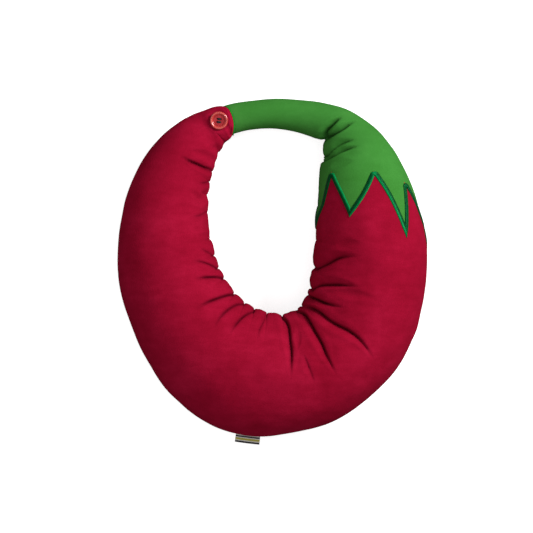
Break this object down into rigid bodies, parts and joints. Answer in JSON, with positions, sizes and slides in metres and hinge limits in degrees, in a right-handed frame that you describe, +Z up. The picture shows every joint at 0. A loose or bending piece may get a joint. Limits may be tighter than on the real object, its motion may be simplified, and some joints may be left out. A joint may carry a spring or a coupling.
{
  "type": "ring-shaped stuffed cushion",
  "caption": "Stuffed velour ring in the shape of a red fruit with a zigzag green calyx and stem, closed by a button through a flap.",
  "frame": {"origin": "on the table plane, under the middle of the cushion's bounding box, its label included", "axes": "+Z up from the table, +Y from the thick end of the ring to the stem, +X to the arm with the calyx"},
  "size_m": [0.3238, 0.3652, 0.0971],
  "materials": {
    "velour_red": "short-pile velour, sheen along the nap",
    "velour_green": "short-pile velour, sheen along the nap",
    "satin_edging": "satin-stitched border, fine parallel threads",
    "seam_thread_red": "sewing thread",
    "seam_thread_green": "sewing thread",
    "button_thread": "dark button thread",
    "fibre_filling": "loose polyester fibre",
    "lining_red": "smooth woven lining",
    "button_resin": "polished cast resin",
    "woven_tape": "plain woven tape"
  },
  "bodies": {
    "base": {"base_front_panel": "velour_red", "base_back_panel": "velour_red", "base_filling": "fibre_filling", "base_outer_seam": "seam_thread_red", "base_inner_closing_seam": "seam_thread_red"},
    "left_arm": {"left_front_panel": "velour_red", "left_back_panel": "velour_red", "left_filling": "fibre_filling", "left_outer_seam": "seam_thread_red", "left_inner_seam": "seam_thread_red"},
    "right_arm": {"right_front_panel": "velour_red", "right_back_panel": "velour_red", "right_filling": "fibre_filling", "right_outer_seam": "seam_thread_red", "right_inner_seam": "seam_thread_red", "calyx_front_panel": "velour_green", "calyx_back_panel": "velour_green", "calyx_outer_seam": "seam_thread_green", "calyx_inner_seam": "seam_thread_green", "calyx_edging_front": "satin_edging", "calyx_edging_back": "satin_edging"},
    "stem": {"stem_front_panel": "velour_green", "stem_back_panel": "velour_green", "stem_filling": "fibre_filling", "stem_outer_seam": "seam_thread_green", "stem_inner_seam": "seam_thread_green", "anchor_patch": "woven_tape", "button_shank": "button_thread"},
    "tip_flap": {"flap_lining": "lining_red", "flap_padding": "fibre_filling", "flap_front_ply": "velour_red", "buttonhole_stitching": "seam_thread_red", "flap_end_piping": "seam_thread_green"},
    "button": {"button_disc": "button_resin", "button_stitch_upper": "button_thread", "button_stitch_lower": "button_thread"},
    "label": {"label_tape": "woven_tape"}
  },
  "joints": [
    {"name": "left_arm_flex", "type": "hinge", "parent": "base", "child": "left_arm", "pos_m": [-0.13013, -0.0935, 0.0445], "axis": [0, 0, 1], "range_deg": [0, 35], "stiffness_Nm_per_rad": 0.4},
    {"name": "right_arm_flex", "type": "hinge", "parent": "base", "child": "right_arm", "pos_m": [0.11457, -0.1156, 0.0465], "axis": [0, 0, -1], "range_deg": [0, 35], "stiffness_Nm_per_rad": 0.4},
    {"name": "stem_swing", "type": "hinge", "parent": "right_arm", "child": "stem", "pos_m": [0.07787, 0.1711, 0.0236], "axis": [0, 0, -1], "range_deg": [0, 75], "stiffness_Nm_per_rad": 0.05},
    {"name": "tip_flap_lift", "type": "hinge", "parent": "left_arm", "child": "tip_flap", "pos_m": [-0.07028, 0.1467, 0.0385], "axis": [0.5695, -0.822, 0], "range_deg": [0, 75], "stiffness_Nm_per_rad": 0.01, "deforming": ["flap_lining", "flap_padding", "flap_front_ply", "buttonhole_stitching", "flap_end_piping"]},
    {"name": "button_turn", "type": "hinge", "parent": "stem", "child": "button", "pos_m": [-0.05658, 0.15995, 0.04295], "axis": [0, 0, 1], "range_deg": [-30, 30], "stiffness_Nm_per_rad": 0.001},
    {"name": "label_flex", "type": "hinge", "parent": "base", "child": "label", "pos_m": [-0.02609, -0.1712, 0.04757], "axis": [0.9895, -0.1448, 0], "range_deg": [-45, 45], "stiffness_Nm_per_rad": 0.004}
  ]
}
